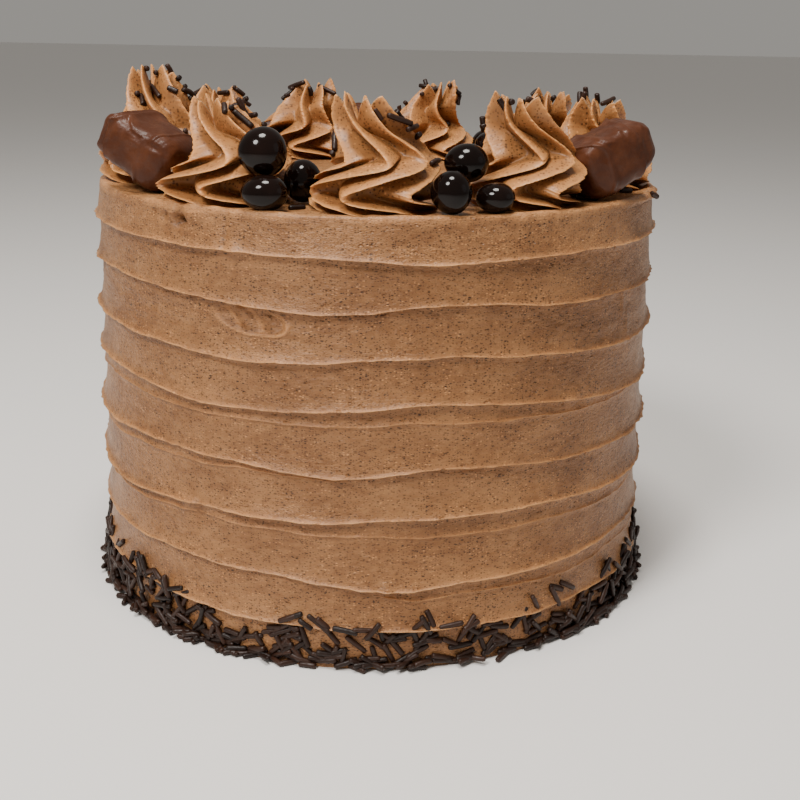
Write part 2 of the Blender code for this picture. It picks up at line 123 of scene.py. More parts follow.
# Pits, torn crumbs and dabs: angle, height in mm, half width and half height in mm, rise in mm
SIDE_MARKS = (
    (PIT_DEGREES, 145.6, 1.5, 1.0, -5.5), (-33.5, 147.2, 2.6, 0.9, 0.9),
    (-40.6, 146.6, 0.9, 0.7, -1.8), (-38.4, 147.6, 0.8, 0.6, 1.0),
    (-43.5, 147.4, 0.8, 0.6, -1.4), (-35.0, 143.6, 1.6, 0.8, 0.8),
    (-35.5, 51.0, 2.6, 1.6, 1.3), (-33.0, 48.5, 2.0, 2.4, -0.7),
    (-37.0, 47.5, 2.0, 3.0, 0.7), (3.0, 30.0, 1.2, 0.9, 1.0),
    (4.0, 27.5, 1.4, 1.0, -0.6), (40.0, 89.0, 2.2, 1.0, 0.9),
    (42.0, 86.0, 1.6, 1.0, -0.5), (-12.5, 113.5, 3.0, 1.0, 0.5),
    (-24.5, 138.5, 1.5, 1.0, 1.3), (-26.2, 143.5, 0.7, 4.5, -0.6),
    (5.0, 117.0, 4.0, 1.2, -0.5), (56.0, 115.0, 1.2, 4.0, 0.6),
    (58.0, 108.0, 1.2, 3.5, 0.6), (48.0, 106.0, 1.6, 1.2, -0.7),
    (-44.0, 116.0, 1.3, 0.8, -0.6), (14.0, 54.0, 1.6, 0.9, -0.5),
    (22.0, 40.0, 1.6, 0.9, -0.5), (27.0, 146.5, 1.0, 4.0, 0.7),
    (33.0, 143.0, 0.6, 5.0, -0.6), (-20.0, 74.0, 1.5, 0.8, -0.5),
)
# Rows of points: mm above a lip, parts of a wide or a narrow band, mm under the next lip
ROWS_ABOVE_MM = (0.0, 0.14, 0.34, 0.7, 1.4)
ROWS_WIDE = (0.17, 0.29, 0.42, 0.56, 0.7, 0.85)
ROWS_PATCH = tuple(0.14 + 0.033 * step for step in range(26))
ROWS_NARROW = (0.45,)
ROWS_BELOW_MM = (0.5, 0.3, 0.12)
WHOLE_BAND = 4.0 * MM
FOOT_RINGS = (0.55 * BASE_RADIUS, BASE_RADIUS - 3.0 * MM)
# Rim: where it leans out and where it is torn, and its rows, as mm inwards and parts of the
# crest's height in mm
ROUGH_DEGREES = 74.0
TORN_DEGREES = -36.5
RIM_LEAN = 2.3 * MM
RIM_ROWS_MM = ((0.2, -1.2), (0.25, -0.5), (0.7, 0.25), (1.4, 0.75), (2.2, 0.9), (3.2, 0.6), (4.6, 0.2))
# Top: distance of its first ring from the side, and the spatula's marks
TOP_INSET = 6.0 * MM
TOP_RINGS = 10
SPATULA_PASS = 11.0 * MM
SPATULA_STEP = 0.3 * MM
TOP_WAVE = 0.35 * MM
TOP_GRAIN = 0.12 * MM

# Piped swirls: angle from the front in degrees, width of the usual one, turn of the fins
SWIRL_RING = 82.0 * MM
SWIRLS = (
    (0, 1.03, 14),
    (36, 0.98, 32),
    (78, 0.98, 5),
    (124, 0.97, 20),
    (164, 1.0, -10),
    (-157, 1.0, 26),
    (-124, 0.97, 8),
    (-78, 1.0, 18),
    (-35, 1.05, -4),
)

# One swirl: fins that swing to one side and back on their way up to an open crown. Keys from
# the foot (0) to the crown's tips (1); widths and heights in mm, turns in degrees
SWIRL_FINS = 7
SWIRL_KEYS = (0.0, 0.08, 0.2, 0.34, 0.48, 0.6, 0.72, 0.82, 0.92, 1.0)
EDGE_RADIUS_MM = (18.0, 19.8, 20.3, 19.5, 17.8, 17.0, 14.5, 12.0, 10.0, 7.3)
EDGE_HEIGHT_MM = (-2.0, 2.8, 6.2, 10.2, 14.0, 17.5, 21.5, 26.5, 31.5, 36.0)
SWING_DEGREES = (48.0, 10.0, -46.0, -38.0, 8.0, 51.0, 32.0, 2.0, -9.0, -12.0)
ASIDE_MM = (0.0, 0.0, -0.5, -1.5, 1.0, 3.5, 2.0, -1.0, -3.5, -4.5)
FORWARD_MM = (0.0, 0.0, 0.0, 1.0, 2.0, 0.0, -1.5, -1.5, -0.5, 0.0)
FIN_DEPTH = (0.26, 0.34, 0.42, 0.45, 0.46, 0.47, 0.5, 0.54, 0.58, 0.64)
DROOP_MM = (0.0, 0.5, 1.5, 2.5, 2.5, 2.5, 1.5, 0.5, 0.0, 0.0)
LEAN_DEGREES = (0.0, 5.0, 10.0, 2.0, -10.0, -8.0, 0.0, 7.0, 9.0, 9.0)
KEY_BLUR = 0.032
FIN_SHARPNESS = 0.95
FIN_ROUNDING = 0.035
CROWN_START = 0.72
CROWN_NOTCH = 7.0 * MM
CROWN_BLUNTNESS = 1.5
CROWN_HOLLOW = 4.0 * MM
SOFT_FOOT = 2.0 * MM
# How unlike its fins are: torn edges and reach as parts, sway in degrees, heights in mm
TORN_EDGE = 0.016
FINE_TORN_EDGE = 0.012
UNEQUAL_REACH = 0.07
RIPPLE = 0.08 * MM
SWAY_DEGREES = 7.0
TIP_RISE = 1.6 * MM
FIN_RISE = 0.5 * MM
SWIRL_SINK = 0.9 * MM
SWIRL_AROUND = 252
SWIRL_ALONG = 200

# Sprinkles that the photograph shows on each swirl, by the swirl's number: pixels (x, y) of
# one end and of the other. Ends that nearly meet are a sprinkle seen end on
SEEN_SPRINKLES_PX = {
    1: ((338, 126, 336, 154), (322, 147, 324, 149), (372, 98, 374, 100), (375, 109, 382, 120),
        (387, 114, 412, 123), (406, 131, 416, 127), (426, 130, 428, 131), (436, 156, 445, 151)),
    2: ((473, 117, 467, 132), (473, 128, 475, 130), (500, 100, 505, 108), (509, 101, 511, 103),
        (530, 100, 532, 101)),
    3: ((592, 83, 589, 91), (581, 94, 581, 101), (586, 93, 583, 101), (596, 90, 603, 95),
        (603, 92, 610, 106)),
    4: ((514, 88, 513, 97), (531, 87, 538, 88), (538, 96, 540, 113), (551, 97, 554, 101)),
    5: ((392, 91, 393, 93), (388, 97, 389, 102), (426, 78, 429, 86), (420, 86, 428, 87),
        (441, 80, 440, 83), (434, 84, 440, 86), (422, 93, 422, 95), (449, 85, 451, 87),
        (454, 90, 459, 94), (459, 95, 457, 105), (447, 124, 449, 125)),
    6: ((275, 85, 277, 86), (284, 82, 279, 98), (299, 76, 283, 82), (293, 84, 296, 93),
        (308, 87, 310, 96), (315, 84, 340, 96)),
    7: ((217, 87, 227, 86), (232, 84, 233, 85), (236, 88, 245, 95), (248, 98, 251, 100),
        (254, 97, 261, 102)),
    8: ((165, 65, 171, 76), (146, 65, 147, 66), (155, 70, 157, 71), (152, 85, 161, 97),
        (169, 88, 177, 92), (136, 93, 137, 95), (140, 96, 142, 106), (193, 84, 195, 84),
        (184, 75, 187, 76), (200, 81, 212, 88), (192, 98, 193, 99), (185, 131, 186, 132)),
    9: ((272, 96, 264, 109), (231, 98, 232, 99), (239, 98, 259, 114), (231, 107, 233, 108),
        (234, 111, 253, 127), (223, 105, 224, 114), (262, 125, 263, 126)),
}
# The same for those on the cake's top, near its rim
TOP_SPRINKLES_PX = ((576, 199, 598, 200), (620, 193, 632, 192), (650, 193, 656, 197),
                    (289, 211, 305, 208))
END_ON = 1.6 * MM
STUB_LENGTH = 3.4 * MM
SHORTEST_SPRINKLE = 4.0 * MM
LONGEST_SPRINKLE = 9.5 * MM
HIDDEN_SPRINKLES = 4
# Sprinkles: rings along a rod from end to end, how thick it is there, and its sides
ROD_STEPS = np.array([-1.0, -0.93, -0.75, 0.0, 0.75, 0.93, 1.0])
ROD_GIRTH = np.array([0.62, 0.93, 1.0, 1.02, 1.0, 0.93, 0.62])
ROD_SIDES = 8
THICKNESS_MM = (1.75, 2.05)
WALL_SPRINKLES = 900
PILE_SPRINKLES = 300
THIN_FRONT_DEGREES = 22.0
THIN_FADE_DEGREES = 30.0
# Rows of the skin that the sprinkles round the foot lie on
SIDE_ROWS_LOW = slice(2, 60)
UPWARD = np.array([0.0, 0.0, 1.0])

# Coated beans: centre (x, y, height over the top), size along, across and up, and heading
FRONT_BEANS = (
    (-33.3, -93.0, 5.6, 14.4, 11.6, 11.0, 4),
    (-23.2, -73.6, 7.0, 12.4, 12.0, 13.6, 60),
    (-34.5, -86.0, 17.2, 15.4, 14.4, 15.2, 20),
    (23.3, -94.6, 6.9, 12.7, 12.4, 13.2, 0),
    (37.2, -89.2, 4.8, 12.4, 11.0, 9.4, -6),
    (28.5, -81.2, 14.4, 13.9, 12.4, 12.0, 10),
)
# Groups of three that the photo hides: angle and twist, then each bean's side and radius
HIDDEN_BEAN_GROUPS = ((101, 8), (144, -10), (-140.5, 7), (-101, -6))
GROUP_PLACES = ((-1, 93.5 * MM), (1, 93.5 * MM), (0, 81.5 * MM))
BEAN_HALF_STEP = 7.5 * MM
BEAN_SIZE_MM = (14.0, 12.2, 11.6)
BEAN_ROWS = 46
BEAN_COLUMNS = 72
GAP = 0.3 * MM

# Pieces of chocolate bar: angle and radius of the centre, then heading and rise of one end and
# roll, in degrees. The front two have that end on the top and lean on a swirl
CHOC_SIZE_MM = (30.0, 22.0, 18.5)
CHOC_BOXINESS = 0.5
CHOC_FOLDS = 6
CHOC_DENTS = 9
CHOC_ROWS = 130
CHOC_COLUMNS = 190
CHOCS = (
    (56.8, 92.6, -154, -27, 0),
    (-57.7, 90.7, -26, -27, 0),
    (-176.5, 88.0, 96, 4, 8),
)

# Frosting: light and dark tone, specks, how much the pattern is squeezed upwards, grain in mm
SIDE_FROSTING = ((0.33, 0.158, 0.064), (0.212, 0.092, 0.034), (0.024, 0.009, 0.004), 2.0, 0.9)
PIPED_FROSTING = ((0.35, 0.157, 0.054), (0.272, 0.113, 0.036), (0.06, 0.022, 0.008), 1.0, 0.2)
# Chocolate: tone, paler tone, roughness, clouds per metre, relief in mm
BEAN_COAT = ((0.004, 0.0018, 0.0013), (0.008, 0.0034, 0.0024), 0.1, 90.0, 0.10)
MILK_CHOCOLATE = ((0.057, 0.017, 0.0068), (0.093, 0.031, 0.0135), 0.36, 160.0, 0.5)
SPRINKLE_TONES = ((0.009, 0.0034, 0.0018), (0.032, 0.012, 0.006))

# Lights: name, place, size in metres, power in watts and colour
LIGHTS = (
    ("key", (-0.46, -0.68, 0.95), 0.34, 13.3, (1.0, 0.97, 0.93)),
    ("overhead", (-0.05, -0.2, 1.15), 0.34, 12.1, (1.0, 0.96, 0.9)),
    ("right", (0.95, -0.35, 0.5), 0.6, 0.25, (0.93, 0.96, 1.0)),
)
LIGHT_AIM = Vector((0.0, 0.0, 0.1))
SURROUND = (0.9, 0.86, 0.8, 1.0)
SURROUND_STRENGTH = 0.355
FLOOR_TONE = (0.78, 0.76, 0.74)
FLOOR_HALF_SIDE = 12.0

# Camera fitted to the photograph: pixels of focal length, place and angles
FOCAL_PX = 1167.0
PHOTO_PX = 800.0
CAMERA_PLACE = (3.85 * MM, -450.0 * MM, 204.3 * MM)
CAMERA_PITCH = 0.308
CAMERA_YAW = 0.0145
CAMERA_ROLL = 0.019


def smooth(x):
    """Smooth step from 0 to 1."""
    x = np.clip(x, 0.0, 1.0)
    return x * x * (3.0 - 2.0 * x)


def lattice(u, v, cells_u, cells_v, seed):
    """Random field that repeats after one unit of u: random values at the corners of a
    lattice, blended between corners by smooth steps. It runs from -1 to 1."""
    values = np.random.default_rng(seed).uniform(-1.0, 1.0, (cells_v + 1, cells_u))
    at_u = np.mod(u, 1.0) * cells_u
    at_v = np.mod(v, 1.0) * cells_v
    left = np.floor(at_u).astype(int) % cells_u
    low = np.floor(at_v).astype(int) % cells_v
    mix_u = smooth(at_u - np.floor(at_u))
    mix_v = smooth(at_v - np.floor(at_v))
    right = (left + 1) % cells_u
    below = values[low, left] * (1.0 - mix_u) + values[low, right] * mix_u
    above = values[low + 1, left] * (1.0 - mix_u) + values[low + 1, right] * mix_u
    return below * (1.0 - mix_v) + above * mix_v


def around_axis(radius, angle, z):
    """Points at a radius and height, and at an angle from the cake's front."""
    return np.stack(np.broadcast_arrays(radius * np.sin(angle), -radius * np.cos(angle), z), -1)


def moved(points, matrix):
    """Array of points moved by a matrix."""
    matrix = np.array(matrix)
    return points @ matrix[:3, :3].T + matrix[:3, 3]


def fade(distance, reach):
    """1 up to a line, and from there an exponential that falls off with the distance."""
    return np.exp(-np.clip(distance, 0.0, 1.0) / reach)


def make_mesh(name, points, quads, triangles, mat):
    """Smooth-shaded object at the origin from arrays of points, quads and triangles."""
    mesh = bpy.data.meshes.new(name)
    mesh.vertices.add(len(points))
    mesh.vertices.foreach_set("co", np.asarray(points, np.float32).ravel())
    corners = np.concatenate([np.ravel(quads), np.ravel(triangles)]).astype(np.int32)
    mesh.loops.add(len(corners))
    mesh.loops.foreach_set("vertex_index", corners)
    sizes = np.concatenate([np.full(len(quads), 4), np.full(len(triangles), 3)])
    starts = np.concatenate([[0], np.cumsum(sizes)[:-1]]).astype(np.int32)
    mesh.polygons.add(len(sizes))
    mesh.polygons.foreach_set("loop_start", starts)
    mesh.update(calc_edges=True)
    mesh.validate()
    mesh.shade_smooth()
    mesh.materials.append(mat)
    obj = bpy.data.objects.new(name, mesh)
    bpy.context.scene.collection.objects.link(obj)
    return obj


def ring_faces(rows, columns):
    """Quads between closed rings of points, facing out when rings run anticlockwise and up."""
    low = np.arange(rows - 1)[:, None] * columns
    here = np.arange(columns)[None, :]
    after = (here + 1) % columns
    quads = np.stack([low + here, low + after, low + columns + after, low + columns + here], -1)
    return quads.reshape(-1, 4)


def fan_faces(first, columns, pole, upward):
    """Triangles from one ring to a pole."""
    here = first + np.arange(columns)
    after = first + (np.arange(columns) + 1) % columns
    tip = np.full(columns, pole)
    return np.stack([here, after, tip] if upward else [after, here, tip], -1)


def closed_rings(name, rings, start, end, mat, edge=None):
    """Closed object from rings of points (rows, columns, 3), with a pole at either end.

    Where given, edge is how strongly each ring point is painted pale as a highlight, kept as an
    attribute of that name.
    """
    rows, columns, _ = rings.shape
    points = np.concatenate([rings.reshape(-1, 3), [start, end]])
    caps = np.concatenate([fan_faces(0, columns, rows * columns, False),
                           fan_faces((rows - 1) * columns, columns, rows * columns + 1, True)])
    obj = make_mesh(name, points, ring_faces(rows, columns), caps, mat)
    if edge is not None:
        layer = obj.data.attributes.new("edge", "FLOAT", "POINT")
        layer.data.foreach_set("value", np.append(edge.ravel(), [0.0, 0.0]).astype(np.float32))
    return obj


def finish_piece(obj, slot, *nodes):
    """Let a piece ride with the cake and stand for its nodes; its slot is not used."""
    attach(obj, "root")
    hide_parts(*nodes)


def wall_radius(height):
    """Radius of the frosted side at a height, before its ridges."""
    return BASE_RADIUS + (TOP_RADIUS - BASE_RADIUS) * height / CAKE_HEIGHT


def ridge_height(ridge, angle):
    """Height of a ridge: its level, a tilt of the comb, its own bumps and a fine wobble."""
    level, bumps = ridge
    height = np.full_like(angle, level * MM) - RIDGE_TILT * np.sin(angle)
    for centre, rise, width in bumps:
        away = np.degrees(angle) - centre
        height += rise * MM * np.exp(-0.5 * (away / width) ** 2)
    behind = smooth((np.abs(np.degrees(angle)) - 80.0) / 40.0)
    height += behind * BACK_WAVE * np.sin(3.0 * angle + level)
    turn = angle / (2.0 * math.pi)
    seed = int(level * 10)
    height += WOBBLE * lattice(turn, 0.0 * turn, 44, 2, seed)
    return height + FINE_WOBBLE * lattice(turn, 0.0 * turn, 170, 2, seed + 1)


def second_ridge(keys, below, angle):
    """Height and strength of a thin second ridge, from its distance under a main one."""
    keys = np.array(keys)
    degrees = np.degrees(angle)
    away = np.interp(degrees, keys[:, 0], keys[:, 1]) * MM
    strength = np.interp(degrees, keys[:, 0], keys[:, 2])
    return below - away, strength


def column_angles():
    """Angles of the columns round the cake: evenly spaced steps of the summed closeness."""
    fine = np.linspace(-math.pi, math.pi, 7201)
    degrees = np.degrees(fine)
    close = 1.0 + 2.0 * smooth((FRONT_HALF_DEGREES - np.abs(degrees)) / 15.0)
    for centre, width, closer in CLOSE_SPOTS:
        close = close + closer * np.exp(-((degrees - centre) / width) ** 2)
    total = np.concatenate([[0.0], np.cumsum(0.5 * (close[1:] + close[:-1]))])
    steps = np.linspace(0.0, total[-1], CAKE_COLUMNS, endpoint=False)
    return np.interp(steps, total, fine)


def band_rows(low, high, parts):
    """Heights of the rows between two lines: close to each line in mm, between by parts."""
    room = high - low
    tight = np.minimum(1.0, room / WHOLE_BAND)
    rows = [low + tight * above * MM for above in ROWS_ABOVE_MM]
    rows += [low + part * room for part in parts]
    rows = [np.minimum(row, high - tight * (ROWS_BELOW_MM[0] + 0.1) * MM) for row in rows]
    return rows + [high - tight * below * MM for below in ROWS_BELOW_MM]


def side_surface(angle):
    """Rows of radius and height up the side, and a painted highlight on each lip (0 to 1).

    Above each ridge the radius falls off as a wide flare and a thin lip, two exponentials of
    the height over the ridge. Just under the next ridge it comes back out to that lip. A
    second ridge adds a smaller flare and lip, cut off sharply on its lower side.
    """
    turn = angle / (2.0 * math.pi)
    mains = [ridge_height(ridge, angle) for ridge in RIDGES]
    top = np.full_like(angle, CAKE_HEIGHT - 2.0 * MM)
    seconds = []
    for index, keys in SECOND_RIDGES:
        height, strength = second_ridge(keys, mains[index], angle)
        wobble = SECOND_WOBBLE * lattice(turn, 0.0 * turn, 60, 2, 300 + index)
        seconds.append((height + wobble, strength, index))
    heights = []
    low = np.zeros_like(angle)
    for index, high in enumerate(mains + [top]):
        between = [line for line in seconds if line[2] == index]
        for line, _, _ in between:
            heights += band_rows(low, line, ROWS_WIDE)
            low = line
        parts = ROWS_NARROW if between else ROWS_WIDE
        heights += band_rows(low, high, ROWS_PATCH if index == PATCH_BAND else parts)
        low = high
    heights.append(top)
    z = np.stack(heights)
    a = np.broadcast_to(turn, z.shape)
    up = z / CAKE_HEIGHT

    lip_wave = 1.0 + 0.65 * lattice(a, up, 60, 11, 21) + 0.55 * lattice(a, up, 230, 11, 22)
    flare_wave = 1.0 + 0.45 * lattice(a, up, 22, 9, 23)
    radius = wall_radius(z) - HOLLOW
    bounds = [np.full_like(angle, -9.0 * MM)] + mains + [np.full_like(angle, 170.0 * MM)]
    full = FLARE * flare_wave + LIP * lip_wave
    edge = np.zeros_like(z)
    for low, high in zip(bounds[:-1], bounds[1:]):
        inside = (z >= low) & (z < high)
        under = np.clip(1.0 - (high - z) / UNDERSIDE, 0.0, 1.0)
        shape = (FLARE * flare_wave * fade(z - low, FLARE_HEIGHT)
                 + LIP * lip_wave * fade(z - low, LIP_HEIGHT))
        radius = radius + np.where(inside, np.maximum(shape, full * under ** UNDERSIDE_POWER), 0.0)
        # Painted highlight: pale just above each lip and just under the next one
        edge = edge + np.where(inside, fade(z - low, LIP_HIGHLIGHT_UP) + fade(high - z, LIP_HIGHLIGHT_DOWN), 0.0)
    for height, strength, _ in seconds:
        under = np.clip(1.0 - (height - z) / UNDERSIDE, 0.0, 1.0)
        bump = (SECOND_FLARE * flare_wave * fade(z - height, SECOND_FLARE_HEIGHT)
                + SECOND_LIP * lip_wave * fade(z - height, LIP_HEIGHT))
        sunk = SECOND_SUNK * fade(height - z, SECOND_SUNK_HEIGHT)
        below = (SECOND_FLARE + SECOND_LIP) * under ** UNDERSIDE_POWER - sunk * (1.0 - under)
        radius = radius + strength * np.where(z >= height, bump, below)
        # Painted highlight along each second ridge
        edge = edge + strength * np.exp(-np.abs(z - height) / SECOND_HIGHLIGHT_REACH)
    for rise, cells_round, cells_up, seed in SIDE_RELIEF:
        radius = radius + rise * MM * lattice(a, up, cells_round, cells_up, seed)
    # Flat dabs that the spatula left: a noise cut off at a level
    dab = smooth((lattice(a, up, 44, 34, 34) - 0.45) * 6.0)
    radius = radius + DAB_RISE * dab * lattice(a, up, 130, 70, 35)
    edge = np.clip(edge, 0.0, 1.0) * (0.65 + 0.35 * lattice(a, up, 110, 12, 36))
    # The patch's raised rim adds radius and a painted highlight
    patch, rim = scraped_patch(angle, z)
    return radius + patch, z, np.clip(edge + rim, 0.0, 1.0)


def scraped_patch(angle, z):
    """Radius added by the scraped patch, and a painted highlight along its rim, with paler scratches.

    Inside a leaning ellipse with a scalloped lower edge the frosting is scraped back, with
    curved scratches. Where the distance d from the middle is 1, the lower edge is pushed up
    into a thin rim.
    """
    u = (np.degrees(angle)[None, :] - PATCH_DEGREES) / PATCH_HALF_DEGREES
    v = (z - PATCH_HEIGHT) / PATCH_HALF_HEIGHT
    u = u + PATCH_LEAN * v
    v = v + PATCH_SCALLOP * np.abs(np.sin(2.6 * u)) - 0.05
    d = np.sqrt(u ** 2 + v ** 2)
    inside = smooth((1.0 - d) * 7.0)
    scratches = np.sin(9.0 * u + 1.6 * v ** 2)
    rim = np.exp(-((d - 1.02) / 0.07) ** 2) * smooth(0.55 - v)
    added = -PATCH_DEPTH * inside * (0.85 + 0.3 * scratches) + PATCH_RIM * rim
    return added, 0.8 * rim + 0.5 * inside * smooth(2.0 * scratches - 1.0)


def spots(angle, radius, z):
    """Radius with the side's small marks, each a soft dab that falls off as a bell."""
    for centre, height, wide, tall, rise in SIDE_MARKS:
        du = np.radians(np.degrees(angle)[None, :] - centre) * MARK_RADIUS / (wide * MM)
        dv = (z / MM - height) / tall
        radius = radius + rise * MM * np.exp(-0.5 * (du ** 2 + dv ** 2))
    return radius


def build_frosting(mat):
    """Frosted cake as one closed skin: base, ridged side, uneven rim and spread top.

    The rim is pulled up into a rough crest, which leans out at the right and is torn over
    the pit at the left. The top has faint arcs, each one a square that starts again after a
    pass of the spatula.
    """
    angle = column_angles()
    degrees = np.degrees(angle)
    turn = angle / (2.0 * math.pi)
    level = 0.0 * turn
    radius, z, side_highlight = side_surface(angle)
    radius = spots(angle, radius, z)
    foot = np.stack([np.full_like(angle, ring) for ring in FOOT_RINGS])
    rows_r = [foot, radius]
    rows_z = [np.zeros_like(foot), z]

    crest = 0.5 + 0.35 * lattice(turn, level, 40, 2, 41) + 0.25 * lattice(turn, level, 150, 2, 42)
    rough = np.exp(-0.5 * ((degrees - ROUGH_DEGREES) / 9.0) ** 2)
    torn = np.exp(-0.5 * ((degrees - TORN_DEGREES) / 3.6) ** 2)
    crest = crest + (rough + 0.8 * torn) * (1.2 + 0.8 * lattice(turn, level, 220, 2, 43))
    lean = RIM_LEAN * 0.9 * rough * (1.0 + 0.6 * lattice(turn, level, 180, 2, 44))
    rim = radius[-1]
    for inward, rise in RIM_ROWS_MM:
        rows_r.append((rim - inward * MM + lean * math.exp(-inward / 2.0))[None])
        rows_z.append((CAKE_HEIGHT + rise * MM * crest)[None])

    inner = np.linspace(1.0, 0.0, TOP_RINGS + 1)[1:-1, None] ** 0.9
    whole = turn[None, :] + 0.0 * inner
    part = 0.999 * inner
    swept = inner * TOP_RADIUS / SPATULA_PASS + 2.0 * whole
    swept = swept - np.floor(swept)
    height = SPATULA_STEP * (swept ** 2 - 0.35) + TOP_WAVE * lattice(whole, part, 11, 5, 51)
    height = height * smooth(4.0 * inner)
    height = height + TOP_GRAIN * lattice(whole, part, 90, 24, 52) * smooth(3.0 * inner)
    rows_r.append(inner * (rim - TOP_INSET)[None, :])
    rows_z.append(CAKE_HEIGHT + height)

    radius = np.concatenate(rows_r)
    z = np.maximum(np.concatenate(rows_z), 0.0)
    rings = around_axis(radius, angle, z)
    # How strongly each point is painted pale as a highlight: the side's lips and the rim's crest
    edge = np.zeros(rings.shape[:2])
    edge[len(foot):len(foot) + len(side_highlight)] = side_highlight
    # Painted highlight on the rim's crest, stronger where the crest stands higher
    edge[len(foot) + len(side_highlight):-len(inner)] = 0.45 * smooth(crest)
    end = (0.0, 0.0, CAKE_HEIGHT)
    obj = closed_rings("frosted_cake", rings, (0.0, 0.0, 0.0), end, mat, edge)
    finish_piece(obj, "frosting", "cake")
    return rings, angle


def key_curve(values, t):
    """Smooth curve through the swirl's key values, by a moving average of straight runs."""
    fine = np.linspace(0.0, 1.0, 401)
    pad = 60
    weight = np.exp(-0.5 * (np.arange(-pad, pad + 1) / (KEY_BLUR * 400.0)) ** 2)
    weight /= weight.sum()
    line = np.interp(fine, SWIRL_KEYS, values)
    before = 2.0 * line[0] - line[pad:0:-1]
    after = 2.0 * line[-1] - line[-2:-pad - 2:-1]
    line = np.convolve(np.concatenate([before, line, after]), weight, "valid")
    return np.interp(t, fine, line)


def swirl_rings(turned, seed):
    """Rings of one piped swirl, from its foot up to the tips of its crown, and a painted highlight on
    the fins' edges.

    A ring's radius runs between the fins' edges and the grooves. The rings turn one way and
    the other on the way up, so that the fins swing, and slide off the axis, so that one side
    has a shoulder. Fins droop and lean a little, and at the crown the grooves stay low. Each
    fin has a torn edge, a sway and a height of its own.
    """
    draw = np.random.default_rng(seed)
    s = np.linspace(0.0, 2.0 * math.pi, SWIRL_AROUND, endpoint=False)[None, :]
    t = np.linspace(0.0, 1.0, SWIRL_ALONG)[:, None]
    u = s / (2.0 * math.pi) + 0.0 * t
    v = 0.999 * t + 0.0 * s
    fin = 1.0 - np.sqrt(np.sin(SWIRL_FINS * s / 2.0) ** 2 + FIN_ROUNDING) ** FIN_SHARPNESS
    fin = (fin - fin.min()) / (fin.max() - fin.min())
    edge = fin ** 3
    depth = key_curve(FIN_DEPTH, t)
    torn = TORN_EDGE * lattice(u, v, SWIRL_FINS * 2, 60, seed + 1)
    torn = torn + FINE_TORN_EDGE * lattice(u, v, 42, 170, seed + 2) * (0.4 + t)
    unequal = UNEQUAL_REACH * lattice(u, v, SWIRL_FINS, 4, seed + 3)
    reach = key_curve(EDGE_RADIUS_MM, t) * MM * (1.0 - depth + depth * fin)
    reach = reach * (1.0 + torn * edge + unequal * fin)
    reach = reach + RIPPLE * lattice(u, v, 40, 60, seed + 4)
    sway = SWAY_DEGREES * lattice(u, v, SWIRL_FINS, 4, seed + 5) * smooth(4.0 * t)
    swing = key_curve(SWING_DEGREES, t) * draw.uniform(0.85, 1.12) + sway
    angle = s + np.radians(turned + swing + key_curve(LEAN_DEGREES, t) * fin)
    crown = smooth((t - CROWN_START) / (1.0 - CROWN_START))
    tips = TIP_RISE * lattice(u, 0.0 * v, SWIRL_FINS, 1, seed + 6) * crown * fin
    notch = CROWN_NOTCH * (1.0 - fin) ** CROWN_BLUNTNESS * crown
    z = (key_curve(EDGE_HEIGHT_MM, t) - key_curve(DROOP_MM, t) * fin ** 2) * MM - notch + tips
    z = z + FIN_RISE * lattice(u, v, SWIRL_FINS, 6, seed + 7) * smooth(6.0 * t)
    z = np.where(z < SOFT_FOOT, SOFT_FOOT * np.exp(np.minimum(z / SOFT_FOOT - 1.0, 0.0)), z)
    x = key_curve(ASIDE_MM, t) * MM + reach * np.sin(angle)
    y = -key_curve(FORWARD_MM, t) * MM - reach * np.cos(angle)
    # Also returned: how strongly each point is painted pale as a highlight on the fins' edges
    return np.stack([x, y, z], axis=-1), 0.0 * t + fin ** 7


def build_swirl(index, mat):
    """One swirl as a closed piece, stretched to its node's height and set on the cake."""
    degrees, width, turned = SWIRLS[index]
    node = "swirl_%d" % (index + 1)
    rings, edge = swirl_rings(turned, 500 + 10 * index)
    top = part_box(node)[1].z - CAKE_HEIGHT - 0.2 * MM
    rings[..., 2] = rings[..., 2] * (top + SWIRL_SINK) / rings[..., 2].max() - SWIRL_SINK
    turn = math.radians(degrees)
    middle = around_axis(SWIRL_RING, turn, CAKE_HEIGHT)
    rings = moved(rings, Matrix.Translation(middle) @ Matrix.Rotation(turn, 4, "Z")
                  @ Matrix.Diagonal((width, width, 1.0, 1.0)))
    start = rings[0].mean(axis=0)
    end = rings[-1].mean(axis=0)
    end[2] = rings[-1, :, 2].min() - CROWN_HOLLOW
    obj = closed_rings("piped_" + node, rings, start, end, mat, edge)
    finish_piece(obj, "piped_frosting", node)
    return rings


def ring_normals(rings):
    """Outward normals of rings of points, from the cross product of their two directions."""
    across = np.roll(rings, -1, axis=1) - np.roll(rings, 1, axis=1)
    along = np.gradient(rings, axis=0)
    normal = np.cross(across, along)
    return normal / np.maximum(np.linalg.norm(normal, axis=-1, keepdims=True), 1e-9)


